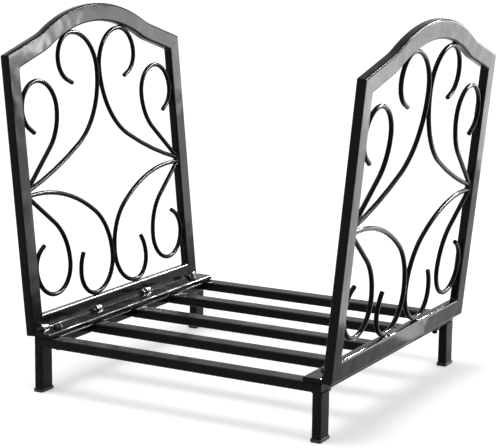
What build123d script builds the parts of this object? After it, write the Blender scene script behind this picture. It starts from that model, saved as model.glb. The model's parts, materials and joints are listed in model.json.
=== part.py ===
from build123d import *
import math
import os

# Indoor log holder of welded black steel tube: a low slatted base on four legs, with a scrolled
# side panel bolted to each end and leaning outwards. The logs lie along X between the panels.
# Millimetres, Z up. The origin is on the floor, under the middle of the base. X runs along the
# slats from the left panel to the right one, and Y runs from the front to the back.

# Stock: one rectangular tube for base, legs and panels, a flat bar and a round wire
tube_wide = 20.0
tube_thin = 10.0
tube_wall = 1.2
tube_bevel = 0.9
strip_wide = 20.0
strip_thick = 5.0
strip_edge = 0.5
wire_diameter = 5.0
wire_sides = 6

# Base
base_length = 335.0
base_depth = 335.0
base_top = 59.0
slat_count = 3

# Plastic caps in the feet of the legs
cap_head = 3.5
cap_overhang = 0.8
cap_plug = 12.0
cap_fit = 0.15
cap_corner = 1.6
cap_edge = 0.8

# Side panels, measured in the plane of the panel from its lower edge
lean_angle = 5.6
shoulder_height = 294.0
crown_rise = 46.0
crown_radius = 210.0
crown_share = 0.573
reverse_radius = 80.0

# Scrolls: where they start on the uprights, and the radii to which the wire is bent for a panel
# whose window is as wide as the pattern; in another window they grow or shrink with it
pattern_window = 295.0
junction_height = 148.0
inner_start = 2.7
outer_start = 4.5
weld_seat = 0.1
upper_inner_sweep = 480.0
upper_inner_arm = 88.0
upper_inner_hook = 43.5
upper_inner_return = 28.0
upper_inner_tail = 25.0
upper_inner_tail_turn = 66.0
upper_inner_tail_length = 9.0
lower_inner_sweep = 180.0
lower_inner_arm = 64.0
lower_inner_hook = 38.0
lower_inner_return = 25.0
lower_inner_tail = 38.0
lower_inner_tail_turn = 34.0
lower_inner_tail_length = 2.0
upper_outer_rise = 83.5
upper_outer_arm = 53.0
upper_outer_hook = 32.0
upper_outer_return = 29.0
upper_outer_tail = 24.0
upper_outer_tail_turn = 56.0
upper_outer_tail_length = 9.0
lower_outer_rise = 82.0
lower_outer_arm = 58.0
lower_outer_hook = 30.5
lower_outer_return = 30.5
lower_outer_tail = 24.0
lower_outer_tail_turn = 60.0
lower_outer_tail_length = 6.0

# Bolts that hold the panels down, two to a side
bolt_diameter = 6.0
bolt_length = 25.0
bolt_inset = 30.0
bolt_hole_clearance = 0.6
head_diameter = 10.5
head_height = 3.3
head_flat = 5.2
socket_across_flats = 4.0
socket_depth = 1.9
nut_across_flats = 10.0
nut_height = 5.0
nut_clearance = 0.1

# Weld beads between strip and panel
weld_count = 4
weld_length = 24.0
weld_leg = 4.5
weld_end_inset = 16.0

# Places that follow from the sizes above
half_length = base_length / 2
half_depth = base_depth / 2
base_bottom = base_top - tube_thin
strip_top = base_top + strip_thick
window_half = half_depth - tube_wide
bend_scale = 2 * window_half / pattern_window
wire_radius = wire_diameter / 2
wire_plane = tube_thin / 2
lean = math.radians(lean_angle)
crown_height = shoulder_height + crown_rise
crown_centre = crown_height - crown_radius

# The crown ends at this angle above the horizontal, where the reverse bend takes over. The ends
# of the arch run straight from there to the shoulders.
bend_angle = math.acos(crown_share * half_depth / crown_radius)
bend_y = (crown_radius + reverse_radius) * math.cos(bend_angle)
bend_z = crown_centre + (crown_radius + reverse_radius) * math.sin(bend_angle)
bend_distance = math.hypot(half_depth - bend_y, bend_z - shoulder_height)
bend_bearing = math.atan2(bend_z - shoulder_height, half_depth - bend_y)
slope = bend_bearing - math.asin(reverse_radius / bend_distance)


def keep_side(shape, point, normal):
    """Cut the shape through the point and keep the side that the normal points to."""
    return split(shape, bisect_by=Plane(origin=point, z_dir=normal), keep=Keep.TOP)


def tube_outlines(along_x, along_y):
    """Outline of the rectangular tube with its corners bevelled, and the outline of its bore."""
    outside = Rectangle(along_x, along_y)
    outside = chamfer(outside.vertices(), tube_bevel)
    return outside, Rectangle(along_x - 2 * tube_wall, along_y - 2 * tube_wall)


def tube_section(along_x, along_y):
    """Section of the rectangular tube."""
    outside, bore = tube_outlines(along_x, along_y)
    return outside - bore


def tube_along_x(length, y, z):
    """Tube lying flat along X, centred on y, with its lower face at z."""
    start = Plane(origin=(-length / 2, y, z + tube_thin / 2), x_dir=(0, 1, 0), z_dir=(1, 0, 0))
    return extrude(start * tube_section(tube_wide, tube_thin), amount=length)


def tube_along_y(length, x, z):
    """Tube lying flat along Y, centred on x, with its lower face at z."""
    start = Plane(origin=(x, -length / 2, z + tube_thin / 2), x_dir=(-1, 0, 0), z_dir=(0, 1, 0))
    return extrude(start * tube_section(tube_wide, tube_thin), amount=length)


def bolt_places():
    """Bolt centres on the end rails, as (x, y)."""
    x = half_length - strip_wide / 2
    y = half_depth - bolt_inset
    return [(sx * x, sy * y) for sx in (-1, 1) for sy in (-1, 1)]


def bolt_holes():
    """Clearance holes through strips and end rails."""
    radius = (bolt_diameter + bolt_hole_clearance) / 2
    depth = strip_thick + tube_thin
    middle = base_bottom + depth / 2
    return [Pos(x, y, middle) * Cylinder(radius, depth + 2) for x, y in bolt_places()]


def long_rail(side):
    """Front (side -1) or back (side 1) member of the base, mitred at both corners."""
    rail = tube_along_x(base_length, side * (half_depth - tube_wide / 2), base_bottom)
    for end in (-1, 1):
        corner = (end * half_length, side * half_depth, base_top)
        rail = keep_side(rail, corner, (-end, side, 0))
    return rail


def end_rail(end):
    """Left (end -1) or right (end 1) member of the base, mitred and drilled for the bolts."""
    rail = tube_along_y(base_depth, end * (half_length - tube_wide / 2), base_bottom)
    for side in (-1, 1):
        corner = (end * half_length, side * half_depth, base_top)
        rail = keep_side(rail, corner, (end, -side, 0))
    return rail - bolt_holes()


def slat(number):
    """Slat between the end rails, with its ends butted against them."""
    pitch = (base_depth - tube_wide) / (slat_count + 1)
    y = -half_depth + tube_wide / 2 + number * pitch
    return tube_along_x(base_length - 2 * tube_wide, y, base_bottom)


def leg_place(end, side):
    """Centre of a leg on the floor, flush with the outside of a base corner."""
    return Pos(end * (half_length - tube_thin / 2), side * (half_depth - tube_wide / 2), 0)


def leg(end, side):
    """Leg of the same tube, from the cap up to the underside of the base."""
    section = tube_section(tube_thin, tube_wide)
    return leg_place(end, side) * Pos(0, 0, cap_head) * extrude(section, amount=base_bottom - cap_head)


def foot_cap(end, side):
    """Plastic cap with a head under the leg and a hollow plug inside it."""
    head = Box(
        tube_thin + 2 * cap_overhang,
        tube_wide + 2 * cap_overhang,
        cap_head,
        align=(Align.CENTER, Align.CENTER, Align.MIN),
    )
    head = chamfer(head.edges().filter_by(Axis.Z), cap_corner)
    head = chamfer(head.faces().sort_by(Axis.Z)[0].edges(), cap_edge)
    play = 2 * (tube_wall + cap_fit)
    plug_x = tube_thin - play
    plug_y = tube_wide - play
    plug = Rectangle(plug_x, plug_y) - Rectangle(plug_x - 2 * tube_wall, plug_y - 2 * tube_wall)
    return leg_place(end, side) * (head + Pos(0, 0, cap_head) * extrude(plug, amount=cap_plug))


# Everything below belongs to one side panel. It is drawn upright, with X outwards from the
# panel's inner face, Y along the panel and Z up it from its lower edge, and is leaned afterwards.


def lean_out(shape, end):
    """Set an upright panel piece on the right (end 1) or left (end -1) end of the base."""
    placed = Pos(half_length, 0, base_top) * Rot(0, lean_angle, 0) * shape
    return placed if end > 0 else mirror(placed, about=Plane.YZ)


def underside_corner():
    """Height of the inner corner, where the top rail's underside meets an upright."""
    return shoulder_height + tube_wide * math.tan(slope) - tube_wide / math.cos(slope)


def upright(side):
    """Front (side -1) or back (side 1) upright, mitred into both rails."""
    section = Pos(wire_plane, side * (half_depth - tube_wide / 2)) * tube_section(tube_thin, tube_wide)
    post = extrude(section, amount=crown_height)
    post = keep_side(post, (0, side * half_depth, 0), (0, side, 1))
    drop = shoulder_height - underside_corner()
    return keep_side(post, (0, side * half_depth, shoulder_height), (0, side * drop, -tube_wide))


def bottom_rail():
    """Lower member of the panel, mitred into both uprights."""
    start = Plane(origin=(wire_plane, -half_depth, tube_wide / 2), x_dir=(-1, 0, 0), z_dir=(0, 1, 0))
    rail = extrude(start * tube_section(tube_thin, tube_wide), amount=base_depth)
    for side in (-1, 1):
        rail = keep_side(rail, (0, side * half_depth, 0), (0, -side, -1))
    return rail


def top_path(depth):
    """Line of the arched top rail at a depth under its upper edge: slope, reverse bend, crown."""
    crown = crown_radius - depth
    reverse = reverse_radius + depth
    # The straight end runs down to the shoulder, lowered square to itself by the depth
    foot_y = half_depth - depth * math.sin(slope)
    foot_z = shoulder_height - depth * math.cos(slope)
    joint_y = crown * math.cos(bend_angle)
    joint_z = crown_centre + crown * math.sin(bend_angle)
    straight_y = bend_y - reverse * math.sin(slope)
    straight_z = bend_z - reverse * math.cos(slope)
    mid_angle = (2.5 * math.pi + bend_angle - slope) / 2
    mid_y = bend_y + reverse * math.cos(mid_angle)
    mid_z = bend_z + reverse * math.sin(mid_angle)
    run_on = tube_wide
    end_y = foot_y + run_on * math.cos(slope)
    end_z = foot_z - run_on * math.sin(slope)
    return Wire(
        [
            Line((0, -end_y, end_z), (0, -straight_y, straight_z)),
            ThreePointArc((0, -straight_y, straight_z), (0, -mid_y, mid_z), (0, -joint_y, joint_z)),
            ThreePointArc(
                (0, -joint_y, joint_z), (0, 0, crown_centre + crown), (0, joint_y, joint_z)
            ),
            ThreePointArc((0, joint_y, joint_z), (0, mid_y, mid_z), (0, straight_y, straight_z)),
            Line((0, straight_y, straight_z), (0, end_y, end_z)),
        ]
    )


def top_rail():
    """Arched upper member, mitred into both uprights."""
    path = top_path(tube_wide / 2)
    start = Plane(origin=path @ 0, x_dir=(1, 0, 0), z_dir=path % 0)
    outside, bore = tube_outlines(tube_thin, tube_wide)
    rail = sweep(start * outside, path=path) - sweep(start * bore, path=path)
    rail = Pos(wire_plane, 0, 0) * rail
    drop = shoulder_height - underside_corner()
    for side in (-1, 1):
        corner = (0, side * half_depth, shoulder_height)
        rail = keep_side(rail, corner, (0, -side * drop, tube_wide))
    return rail


def heading_from(centre, point):
    """Compass heading, in degrees, of clockwise travel round the centre at the point."""
    return math.degrees(math.atan2(point[1] - centre[1], point[0] - centre[0])) - 90


def wrap_centre(point, radius, centre, inner_radius):
    """Centre of the circle through the point that wraps round a smaller circle, lying above it."""
    gap_y = centre[0] - point[0]
    gap_z = centre[1] - point[1]
    gap = math.hypot(gap_y, gap_z)
    along = (gap**2 + radius**2 - (radius - inner_radius) ** 2) / (2 * gap)
    across = math.sqrt(radius**2 - along**2)
    return (
        point[0] + (along * gap_y + across * gap_z) / gap,
        point[1] + (along * gap_z - across * gap_y) / gap,
    )


def bent_wire(start, heading, straight, bends, tail):
    """Wire that runs straight from its start, turns clockwise through the bends and ends straight."""
    layout = Plane(origin=(wire_plane, 0, 0), x_dir=(0, 1, 0), z_dir=(1, 0, 0))
    angle = math.radians(heading)
    way = Vector(math.cos(angle), math.sin(angle))
    begin = Vector(*start) - way * wire_diameter
    runs = [Line(begin, Vector(*start) + way * straight)]
    for radius, turn in bends:
        runs.append(JernArc(runs[-1] @ 1, runs[-1] % 1, radius, -turn))
    runs.append(Line(runs[-1] @ 1, (runs[-1] @ 1) + (runs[-1] % 1) * tail))
    path = layout * Wire(runs)
    flat_up = 90 - 180 / wire_sides
    section = RegularPolygon(wire_radius, wire_sides, major_radius=False, rotation=flat_up)
    section = Plane(origin=path @ 0, x_dir=(1, 0, 0), z_dir=path % 0) * section
    return keep_side(sweep(section, path=path), (0, window_half, 0), (0, -1, 0))


def inner_scroll(rise, sweep_radius, arm, hook, back, tail):
    """Large scroll, in the back half of the panel and curling up; it touches its twin at Y = 0.

    The rise is the height above the junction at which the hook touches the middle line. The
    centre of the first sweep comes back with the wire.
    """
    start = (window_half, inner_start)
    arm_centre = (wire_radius + arm, rise)
    centre = wrap_centre(start, sweep_radius, arm_centre, arm)
    reach = sweep_radius - arm
    joint = (
        arm_centre[0] + arm * (arm_centre[0] - centre[0]) / reach,
        arm_centre[1] + arm * (arm_centre[1] - centre[1]) / reach,
    )
    first = heading_from(centre, start) % 360
    second = heading_from(centre, joint) % 360
    tail_radius, tail_turn, tail_length = tail
    bends = [(sweep_radius, first - second), (arm, second - 90), (hook, 90), (back, 90)]
    bends.append((tail_radius, tail_turn))
    return bent_wire(start, first, 0, bends, tail_length), centre


def outer_scroll(rise, arm, hook, back, tail, seat_centre, seat_radius):
    """Small scroll, in the back half and curling up; its hook touches the upright.

    Its lower end is cut to seat on the inner scroll, whose first sweep has the seat's centre
    and radius.
    """
    hook_y = window_half - wire_radius - back
    arm_centre = (hook_y - hook + arm, rise)
    start = (window_half, outer_start)
    gap = math.dist(start, arm_centre)
    bearing = math.degrees(math.atan2(arm_centre[1] - start[1], arm_centre[0] - start[0]))
    heading = bearing + math.degrees(math.asin(arm / gap))
    straight = math.sqrt(gap**2 - arm**2)
    tail_radius, tail_turn, tail_length = tail
    bends = [(arm, heading - 90), (hook, 90), (back, 90), (tail_radius, tail_turn)]
    wire = bent_wire(start, heading, straight, bends, tail_length)
    above_arm = seat_radius - wire_radius - weld_seat
    seat = Plane(origin=(wire_plane, *seat_centre), z_dir=(1, 0, 0)) * Cylinder(above_arm, tube_thin)
    return wire & seat


def bends_for_window(*radii):
    """Bends of the pattern, made to suit the window of this panel."""
    return [radius * bend_scale for radius in radii]


def upper_scrolls():
    """Inner and outer scroll of the upper half; the inner hook touches the underside of the crown."""
    sweep, arm = bends_for_window(upper_inner_sweep, upper_inner_arm)
    hook, back = bends_for_window(upper_inner_hook, upper_inner_return)
    tail, tail_length = bends_for_window(upper_inner_tail, upper_inner_tail_length)
    inside = crown_radius - tube_wide - back - wire_radius - weld_seat
    return_height = crown_centre + math.sqrt(inside**2 - (wire_radius + hook) ** 2)
    rise = return_height + back - hook - junction_height
    end = (tail, upper_inner_tail_turn, tail_length)
    inner, centre = inner_scroll(rise, sweep, arm, hook, back, end)
    arm, hook, back = bends_for_window(upper_outer_arm, upper_outer_hook, upper_outer_return)
    tail, tail_length = bends_for_window(upper_outer_tail, upper_outer_tail_length)
    end = (tail, upper_outer_tail_turn, tail_length)
    return inner, outer_scroll(upper_outer_rise, arm, hook, back, end, centre, sweep)


def lower_scrolls():
    """Inner and outer scroll of the lower half, drawn curling up; the inner hook meets the rail."""
    sweep, arm = bends_for_window(lower_inner_sweep, lower_inner_arm)
    hook, back = bends_for_window(lower_inner_hook, lower_inner_return)
    tail, tail_length = bends_for_window(lower_inner_tail, lower_inner_tail_length)
    rise = junction_height - tube_wide - weld_seat - wire_radius - hook
    end = (tail, lower_inner_tail_turn, tail_length)
    inner, centre = inner_scroll(rise, sweep, arm, hook, back, end)
    arm, hook, back = bends_for_window(lower_outer_arm, lower_outer_hook, lower_outer_return)
    tail, tail_length = bends_for_window(lower_outer_tail, lower_outer_tail_length)
    end = (tail, lower_outer_tail_turn, tail_length)
    return inner, outer_scroll(lower_outer_rise, arm, hook, back, end, centre, sweep)


def place_scroll(wire, half, side):
    """Move a scroll to the upper (half 1) or lower (half -1) and front or back part of the panel."""
    if half < 0:
        wire = mirror(wire, about=Plane.XY)
    if side < 0:
        wire = mirror(wire, about=Plane.XZ)
    return Pos(0, 0, junction_height) * wire


def mounting_strip(end):
    """Flat bar welded to the foot of a panel and bolted down on the end rail."""
    bar = Box(strip_wide, base_depth, strip_thick)
    bar = chamfer(bar.edges().filter_by(Axis.Y), strip_edge)
    middle = Pos(end * (half_length - strip_wide / 2), 0, base_top + strip_thick / 2)
    return middle * bar - bolt_holes()


def strip_welds(end):
    """Weld beads in the corner between the strip and the leaning face of the bottom rail."""
    inset = strip_thick * math.tan(lean)
    top = inset + weld_leg * math.sin(lean)
    bead = Face(
        Wire(
            [
                Line((half_length, base_top), (half_length + inset, strip_top)),
                Line((half_length + inset, strip_top), (half_length + top, strip_top + weld_leg)),
                RadiusArc(
                    (half_length + top, strip_top + weld_leg),
                    (half_length - weld_leg, strip_top),
                    -1.6 * weld_leg,
                ),
                Line((half_length - weld_leg, strip_top), (half_length, strip_top)),
                Line((half_length, strip_top), (half_length, base_top)),
            ]
        )
    )
    pitch = (base_depth - 2 * weld_end_inset) / (weld_count - 1)
    beads = []
    for number in range(weld_count):
        y = -half_depth + weld_end_inset + number * pitch
        start = Plane(origin=(0, y + weld_length / 2, 0), x_dir=(1, 0, 0), z_dir=(0, -1, 0))
        beads.append(extrude(start * bead, amount=weld_length))
    beads = Compound(children=beads)
    return beads if end > 0 else mirror(beads, about=Plane.YZ)


def bolt():
    """Button-head bolt with a hexagon socket, its head standing on Z = 0."""
    head_radius = head_diameter / 2
    outline = Wire(
        [
            Line((0, 0), (head_radius, 0)),
            Line((head_radius, 0), (head_flat / 2, head_height)),
            Line((head_flat / 2, head_height), (0, head_height)),
            Line((0, head_height), (0, 0)),
        ]
    )
    head = revolve(Plane.XZ * Face(outline), axis=Axis.Z)
    shank = Pos(0, 0, -bolt_length / 2) * Cylinder(bolt_diameter / 2, bolt_length)
    hexagon = RegularPolygon(socket_across_flats / 2, 6, major_radius=False)
    socket = Pos(0, 0, head_height - socket_depth) * extrude(hexagon, amount=socket_depth)
    return head + shank - socket


def nut():
    """Hexagon nut hanging under Z = 0."""
    hexagon = RegularPolygon(nut_across_flats / 2, 6, major_radius=False)
    body = extrude(hexagon, amount=-nut_height)
    bore = Pos(0, 0, -nut_height / 2) * Cylinder(bolt_diameter / 2 + nut_clearance, nut_height + 2)
    return body - bore


def group(shape, z):
    """One copy of a fastener at every bolt hole, at height z."""
    return Compound(children=[Pos(x, y, z) * shape for x, y in bolt_places()])


ends = {"left": -1, "right": 1}
sides = {"front": -1, "back": 1}
halves = {"upper": 1, "lower": -1}

pieces = {"front_rail": long_rail(-1), "back_rail": long_rail(1)}
for end_name, end in ends.items():
    pieces[f"{end_name}_end_rail"] = end_rail(end)
for number in range(1, slat_count + 1):
    pieces[f"slat_{number}"] = slat(number)
for end_name, end in ends.items():
    for side_name, side in sides.items():
        pieces[f"{side_name}_{end_name}_leg"] = leg(end, side)
        pieces[f"{side_name}_{end_name}_foot_cap"] = foot_cap(end, side)

scroll_pairs = {"upper": upper_scrolls(), "lower": lower_scrolls()}
for end_name, end in ends.items():
    pieces[f"{end_name}_bottom_rail"] = lean_out(bottom_rail(), end)
    pieces[f"{end_name}_top_rail"] = lean_out(top_rail(), end)
    pieces[f"{end_name}_mounting_strip"] = mounting_strip(end)
    pieces[f"{end_name}_strip_welds"] = strip_welds(end)
    for side_name, side in sides.items():
        pieces[f"{end_name}_{side_name}_upright"] = lean_out(upright(side), end)
        for half_name, half in halves.items():
            for kind, wire in zip(("inner", "outer"), scroll_pairs[half_name]):
                name = f"{end_name}_{side_name}_{half_name}_{kind}_scroll"
                pieces[name] = lean_out(place_scroll(wire, half, side), end)

pieces["panel_bolts"] = group(bolt(), strip_top)
pieces["panel_nuts"] = group(nut(), base_bottom)

os.makedirs("parts", exist_ok=True)
for name, piece in pieces.items():
    export_step(piece, f"parts/{name}.step")
print(f"{len(pieces)} nodes written")
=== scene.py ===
import json
import math

import bmesh
import bpy
from mathutils import Matrix, Vector, noise

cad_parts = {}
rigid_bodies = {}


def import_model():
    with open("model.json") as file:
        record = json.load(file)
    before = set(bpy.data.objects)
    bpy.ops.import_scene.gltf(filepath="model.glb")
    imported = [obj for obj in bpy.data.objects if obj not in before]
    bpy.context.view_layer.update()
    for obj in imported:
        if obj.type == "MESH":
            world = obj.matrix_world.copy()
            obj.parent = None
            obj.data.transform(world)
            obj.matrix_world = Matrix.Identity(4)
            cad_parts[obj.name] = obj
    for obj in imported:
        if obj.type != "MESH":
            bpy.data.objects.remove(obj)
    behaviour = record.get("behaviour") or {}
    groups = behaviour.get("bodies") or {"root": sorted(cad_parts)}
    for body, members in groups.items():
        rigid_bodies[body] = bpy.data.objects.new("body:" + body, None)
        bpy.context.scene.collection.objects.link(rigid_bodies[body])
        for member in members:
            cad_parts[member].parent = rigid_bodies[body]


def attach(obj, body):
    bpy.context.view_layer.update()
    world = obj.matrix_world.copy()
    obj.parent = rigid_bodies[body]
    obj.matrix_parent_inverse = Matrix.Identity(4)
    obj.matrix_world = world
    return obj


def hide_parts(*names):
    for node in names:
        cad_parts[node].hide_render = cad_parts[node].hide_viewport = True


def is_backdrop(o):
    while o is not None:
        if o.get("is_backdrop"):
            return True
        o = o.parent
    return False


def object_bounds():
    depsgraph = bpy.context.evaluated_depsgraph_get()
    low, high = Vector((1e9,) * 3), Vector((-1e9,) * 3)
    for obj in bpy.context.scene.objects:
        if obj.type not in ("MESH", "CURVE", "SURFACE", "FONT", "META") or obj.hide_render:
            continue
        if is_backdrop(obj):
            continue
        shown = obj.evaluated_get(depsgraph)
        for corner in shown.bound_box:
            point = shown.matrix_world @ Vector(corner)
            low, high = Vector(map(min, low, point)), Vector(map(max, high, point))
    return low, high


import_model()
cad_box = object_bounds()

# The base is a frame of four rectangular steel tubes with mitred corners. The tube is cold
# rolled with a weld seam, so its corners are round, and the whole frame is powder coated black
# after welding. The outside corners are ground flush.

MM = 0.001
BASE_LENGTH = 335 * MM
BASE_DEPTH = 335 * MM
BASE_TOP = 59 * MM
TUBE_WIDE = 20 * MM
TUBE_THIN = 10 * MM
TUBE_CORNER = 2.4 * MM
TUBE_CORNER_FACETS = 4
FRAME_CORNER = 2.5 * MM
# A mitre's outside corner is ground round by flat cuts at these angles, in degrees
GRINDING_ANGLES = (11, 34, 56, 79)
# Points nearer than this count as one
SAME_PLACE = 0.001 * MM


def linear(code):
    """Linear colour of an sRGB hex code."""
    parts = [int(code[i : i + 2], 16) / 255 for i in (1, 3, 5)]
    return [p / 12.92 if p <= 0.04045 else ((p + 0.055) / 1.055) ** 2.4 for p in parts] + [1.0]


def add_node(tree, kind, inputs=None, **settings):
    """Add a node. An input, by name or number, is a value or the socket that it is linked from."""
    node = tree.nodes.new(kind)
    for name, value in settings.items():
        setattr(node, name, value)
    for name, value in (inputs or {}).items():
        if isinstance(value, bpy.types.NodeSocket):
            tree.links.new(value, node.inputs[name])
        else:
            node.inputs[name].default_value = value
    return node


def new_material(name):
    """Material with a Principled shader, and the object's own coordinates in metres."""
    material = bpy.data.materials.new(name)
    material.use_nodes = True
    tree = material.node_tree
    place = add_node(tree, "ShaderNodeTexCoord").outputs["Object"]
    spot = add_node(tree, "ShaderNodeMapping", {"Vector": place}).outputs["Vector"]
    return material, tree, tree.nodes["Principled BSDF"], spot


# Semi-gloss black polyester powder on steel, sprayed and baked: a dense black with a fine orange
# peel of about 2 mm, drawn at 3 mm so that it shows. Under it the slight waves of the rolled tube
# bend the reflections every 30 mm, and the gloss comes and goes in clouds of about 40 mm.
powder_coat, tree, shader, spot = new_material("black_powder_coat_on_steel")
peel = add_node(
    tree, "ShaderNodeTexNoise", {"Vector": spot, "Scale": 1 / (3.03 * MM), "Detail": 2.0}
)
waves = add_node(
    tree, "ShaderNodeTexNoise", {"Vector": spot, "Scale": 1 / (31.25 * MM), "Detail": 1.0}
)
clouds = add_node(
    tree, "ShaderNodeTexNoise", {"Vector": spot, "Scale": 1 / (38.5 * MM), "Detail": 5.0}
)
black = add_node(
    tree,
    "ShaderNodeMix",
    {"Factor": clouds.outputs["Fac"], 6: linear("#070708"), 7: linear("#101011")},
    data_type="RGBA",
)
tree.links.new(black.outputs[2], shader.inputs["Base Color"])
gloss = add_node(
    tree,
    "ShaderNodeMapRange",
    {"Value": clouds.outputs["Fac"], "From Min": 0.36, "From Max": 0.66, "To Min": 0.1, "To Max": 0.2},
)
tree.links.new(gloss.outputs["Result"], shader.inputs["Roughness"])
long_waves = add_node(
    tree, "ShaderNodeBump", {"Height": waves.outputs["Fac"], "Strength": 0.5, "Distance": 2.2 * MM}
)
fine_peel = add_node(
    tree,
    "ShaderNodeBump",
    {
        "Height": peel.outputs["Fac"],
        "Normal": long_waves.outputs["Normal"],
        "Strength": 0.35,
        "Distance": 0.06 * MM,
    },
)
tree.links.new(fine_peel.outputs["Normal"], shader.inputs["Normal"])
shader.inputs["IOR"].default_value = 1.5
shader.inputs["Specular IOR Level"].default_value = 0.07

# The same coat as it lies on the slats, the front and back rails and the legs, where the powder
# settles thicker and drier: more matt, so that they mirror the panels only as soft shades.
drier_coat = powder_coat.copy()
drier_coat.name = "drier_black_powder_coat_on_base"
drier_coat.node_tree.nodes[gloss.name].inputs["To Min"].default_value = 0.24
drier_coat.node_tree.nodes[gloss.name].inputs["To Max"].default_value = 0.36


def tube_outline(work, across, up):
    """Outline of the tube in the XY plane, with its round corners; returns its edges."""
    made = bmesh.ops.create_grid(work, x_segments=1, y_segments=1, size=0.5)
    bmesh.ops.scale(work, vec=(across, up, 1), verts=made["verts"])
    bmesh.ops.bevel(
        work,
        geom=list(work.verts),
        offset=TUBE_CORNER,
        offset_type="OFFSET",
        affect="VERTICES",
        segments=TUBE_CORNER_FACETS,
        profile=0.5,
        material=-1,
    )
    bmesh.ops.delete(work, geom=list(work.faces), context="FACES_ONLY")
    return list(work.edges)


def extrude_along(work, edges, step):
    """Extrude an outline by a step; returns the edges of its new end."""
    made = bmesh.ops.extrude_edge_only(work, edges=edges)["geom"]
    bmesh.ops.translate(work, vec=step, verts=[g for g in made if isinstance(g, bmesh.types.BMVert)])
    return [g for g in made if isinstance(g, bmesh.types.BMEdge) and g.is_boundary]


def cut_off(work, point, normal):
    """Saw off what lies on the side of the plane that the normal points to, and close the cut."""
    geom = list(work.verts) + list(work.edges) + list(work.faces)
    cut = bmesh.ops.bisect_plane(
        work, geom=geom, plane_co=point, plane_no=normal, clear_outer=True, dist=SAME_PLACE / 10
    )
    edges = [g for g in cut["geom_cut"] if isinstance(g, bmesh.types.BMEdge)]
    bmesh.ops.contextual_create(work, geom=edges)


def grind_corner(work, corner, first, second, radius):
    """Grind the outside corner of a mitre round; first and second are the ways out of its faces."""
    first, second = Vector(first), Vector(second)
    middle = Vector(corner) - (first + second) * radius
    for degrees in GRINDING_ANGLES:
        angle = math.radians(degrees)
        way = first * math.cos(angle) + second * math.sin(angle)
        cut_off(work, middle + way * radius, way)


def finish_piece(name, work, material, nodes=(), sharp=40):
    """Make the piece an object that rides on the part and stands for its CAD nodes.

    It shades smoothly over its round corners, and edges that turn by more than the sharp angle,
    in degrees, stay sharp.
    """
    bmesh.ops.recalc_face_normals(work, faces=list(work.faces))
    for face in work.faces:
        face.smooth = True
    mesh = bpy.data.meshes.new(name)
    work.to_mesh(mesh)
    work.free()
    mesh.set_sharp_from_angle(angle=math.radians(sharp))
    mesh.materials.append(material)
    piece = bpy.data.objects.new(name, mesh)
    bpy.context.scene.collection.objects.link(piece)
    even = piece.modifiers.new("flat_faces_stay_flat", "WEIGHTED_NORMAL")
    even.keep_sharp = True
    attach(piece, "root")
    if nodes:
        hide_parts(*nodes)
    return piece


def straight_tube(across, up, length, turn):
    """Tube with its middle at the origin and its length along Z, then moved by a matrix."""
    work = bmesh.new()
    edges = tube_outline(work, across, up)
    bmesh.ops.translate(work, vec=(0, 0, -length / 2), verts=list(work.verts))
    extrude_along(work, edges, (0, 0, length))
    bmesh.ops.transform(work, matrix=turn, verts=list(work.verts))
    return work


# Turns that lay a tube along X, flat, and along Y
ALONG_X = Matrix.Rotation(math.radians(90), 4, "Y") @ Matrix.Rotation(math.radians(90), 4, "Z")
ALONG_Y = Matrix.Rotation(math.radians(-90), 4, "X")
rail_height = BASE_TOP - TUBE_THIN / 2

for name, side in (("front", -1), ("back", 1)):
    place = Matrix.Translation((0, side * (BASE_DEPTH - TUBE_WIDE) / 2, rail_height))
    work = straight_tube(TUBE_WIDE, TUBE_THIN, BASE_LENGTH + TUBE_WIDE, place @ ALONG_X)
    for end in (-1, 1):
        corner = (end * BASE_LENGTH / 2, side * BASE_DEPTH / 2, 0)
        cut_off(work, corner, (end, -side, 0))
        grind_corner(work, corner, (0, side, 0), (end, 0, 0), FRAME_CORNER)
    finish_piece(f"{name}_rail_tube", work, drier_coat, [f"{name}_rail"])

for name, end in (("left", -1), ("right", 1)):
    place = Matrix.Translation((end * (BASE_LENGTH - TUBE_WIDE) / 2, 0, rail_height))
    work = straight_tube(TUBE_WIDE, TUBE_THIN, BASE_DEPTH + TUBE_WIDE, place @ ALONG_Y)
    for side in (-1, 1):
        corner = (end * BASE_LENGTH / 2, side * BASE_DEPTH / 2, 0)
        cut_off(work, corner, (-end, side, 0))
        grind_corner(work, corner, (end, 0, 0), (0, side, 0), FRAME_CORNER)
    finish_piece(f"{name}_end_rail_tube", work, powder_coat, [f"{name}_end_rail"])

# Three slats of the same tube lie between the end rails with their tops flush. Each end is cut
# square, butted against the rail and held by a short bead of weld on each side of the slat.

SLATS = 3
SLAT_PITCH = (BASE_DEPTH - TUBE_WIDE) / (SLATS + 1)
SLAT_LENGTH = BASE_LENGTH - 2 * TUBE_WIDE
# Width and height of a bead, and how far it runs below and above the middle of the slat
SLAT_BEAD = (2.8 * MM, 1.1 * MM)
SLAT_BEAD_LOW = 3.6 * MM
SLAT_BEAD_HIGH = 3.4 * MM

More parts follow.
